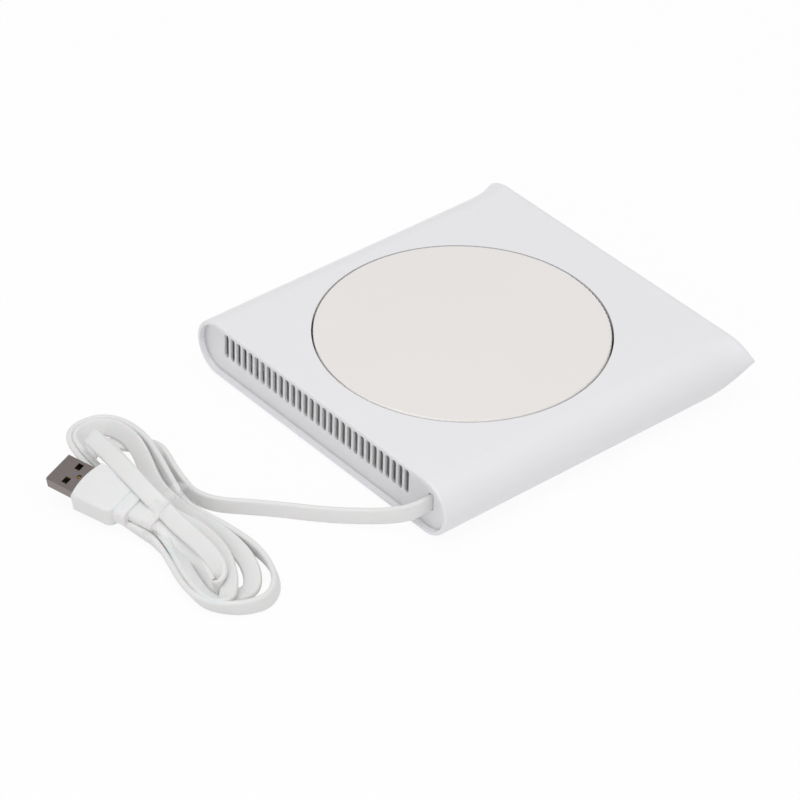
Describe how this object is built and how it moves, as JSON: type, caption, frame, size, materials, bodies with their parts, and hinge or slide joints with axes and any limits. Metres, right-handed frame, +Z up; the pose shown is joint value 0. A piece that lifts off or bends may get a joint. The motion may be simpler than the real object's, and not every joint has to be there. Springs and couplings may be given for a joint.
{
  "type": "mug warmer",
  "caption": "Flat desk mug warmer: rounded sleeve with a round heating plate that sinks under a mug, a slotted end panel, and a flat USB cord folded into a tied hank.",
  "frame": {"origin": "on the table, under the middle of the body (without the cord)", "axes": "+Z up, -Y towards the slotted end where the cord leaves, +Y towards the rounded nose, +X to the right when seen from the slotted end"},
  "size_m": [0.1336, 0.2162, 0.022],
  "materials": {
    "white_abs": "fine satin moulded",
    "zinc_steel": "zinc plated",
    "spring_steel": "drawn wire",
    "white_silicone": "matt moulded",
    "opal_glass_ceramic": "satin, off-white",
    "silicone_film": "matt",
    "polyimide_film": "amber film",
    "ceramic_fibre": "needled felt",
    "ivory_pps": "glass filled, matt",
    "black_epoxy": "moulded epoxy",
    "fr4_laminate": "green solder mask",
    "black_nylon": "moulded nylon",
    "red_acetal": "moulded acetal",
    "sleeved_aluminium": "sleeved can",
    "natural_nylon": "natural nylon",
    "white_pvc": "smooth extruded",
    "clear_film": "clear plastic film",
    "white_tpe": "moulded, satin",
    "plug_steel": "nickel plated, brushed",
    "plug_insulator": "moulded",
    "contact_brass": "gold flashed"
  },
  "bodies": {
    "root": {"housing_sleeve": "white_abs", "bottom_cover": "white_abs", "vent_grille": "white_abs", "cover_screws": "zinc_steel", "board_screws": "zinc_steel", "plate_springs": "spring_steel", "rubber_feet": "white_silicone", "circuit_board": "fr4_laminate", "micro_switch": "black_nylon", "control_chip": "black_epoxy", "power_transistor": "black_epoxy", "filter_capacitor": "sleeved_aluminium", "power_socket": "natural_nylon", "power_wires": "white_pvc", "heater_leads": "white_pvc", "sensor_leads": "white_pvc", "cord_anchor": "white_pvc", "cord_tail": "white_pvc", "cord_lead": "white_pvc", "cord_hank": "white_pvc", "hank_tie": "clear_film", "usb_overmould": "white_tpe", "usb_shell": "plug_steel", "usb_tongue": "plug_insulator", "usb_contacts": "contact_brass"},
    "plate": {"heating_plate": "opal_glass_ceramic", "plate_gasket": "silicone_film", "heater_mat": "polyimide_film", "insulation_pad": "ceramic_fibre", "plate_carrier": "ivory_pps", "thermistor": "black_epoxy", "thermal_cutout": "black_epoxy"},
    "plunger": {"switch_plunger": "red_acetal"}
  },
  "joints": [
    {"name": "plate_slide", "type": "slide", "parent": "root", "child": "plate", "axis": [0, 0, 1], "range_m": [-0.0008, 0], "stiffness_N_per_m": 1200, "springref_m": 0.0016, "deforming": ["plate_springs", "heater_leads", "sensor_leads"]},
    {"name": "plunger_slide", "type": "slide", "parent": "root", "child": "plunger", "axis": [0, 0, 1], "range_m": [-0.0008, 0]}
  ],
  "couplings": [
    {"joint": "plunger_slide", "follows": "plate_slide", "ratio": 1}
  ]
}
